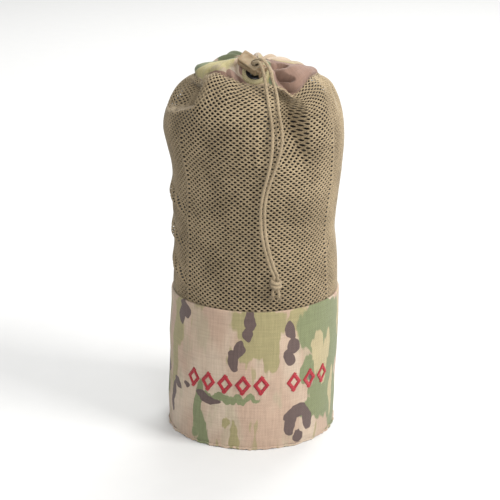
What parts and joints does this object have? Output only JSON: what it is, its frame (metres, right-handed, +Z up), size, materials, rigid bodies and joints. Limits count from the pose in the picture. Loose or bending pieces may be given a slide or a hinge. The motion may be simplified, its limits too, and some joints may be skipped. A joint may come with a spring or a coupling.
{
  "type": "throw line bag",
  "caption": "Upright drawstring bag with a firm round camouflage base, a net upper, a gathered mouth with a cord lock, and a stowed throw line inside.",
  "frame": {"origin": "middle of the bottom face, where the bag stands", "axes": "+Z up along the bag, -Y towards the front with the embroidery and the cord lock, +X to the right seen from the front"},
  "size_m": [0.162, 0.1654, 0.3606],
  "materials": {
    "camo_fabric": "woven, coated, printed in pinkish tan, pale olive, green and brown",
    "net_fabric": "knitted olive-tan net, matte",
    "binding_tape": "woven tape, matte",
    "closed_cell_foam": "matte closed-cell foam",
    "lining_fabric": "thin coated lining",
    "black_metal": "black, semi-gloss",
    "tan_cord": "braided cord, matte",
    "tan_plastic": "moulded, satin",
    "spring_steel": "bare wire",
    "dark_rope": "braided floating rope, matte",
    "red_thread": "satin-stitch thread, soft sheen"
  },
  "bodies": {
    "bag": {"base_wall": "camo_fabric", "base_floor": "camo_fabric", "bottom_seam": "camo_fabric", "wall_back_seam": "binding_tape", "foam_wall": "closed_cell_foam", "foam_floor": "closed_cell_foam", "base_lining": "lining_fabric", "seam_tape": "binding_tape", "front_embroidery": "red_thread", "mesh_body": "net_fabric", "mesh_back_seam": "binding_tape", "collar_tunnel": "camo_fabric", "eyelet_patch": "camo_fabric", "eyelet_flange": "black_metal", "eyelet_washer": "black_metal", "drawcord_loop": "tan_cord", "anchor_webbing": "binding_tape", "line_anchor_loop": "dark_rope", "line_anchor_knot": "dark_rope", "throw_line": "dark_rope", "line_hand_loop": "dark_rope", "line_hand_knot": "dark_rope"},
    "lock": {"lock_body": "tan_plastic", "lock_spring": "spring_steel", "cord_tail_left": "tan_cord", "cord_tail_right": "tan_cord", "tail_knot": "tan_cord", "tail_ends": "tan_cord"},
    "plunger": {"lock_plunger": "tan_plastic"}
  },
  "joints": [
    {"name": "drawcord_pull", "type": "slide", "parent": "bag", "child": "lock", "axis": [0, -0.7071, 0.7071], "range_m": [0, 0.008]},
    {"name": "lock_button_press", "type": "slide", "parent": "lock", "child": "plunger", "axis": [-0.788, 0.4353, 0.4353], "range_m": [0, 0.003], "stiffness_N_per_m": 600, "springref_m": -0.003, "deforming": ["lock_spring"]}
  ]
}
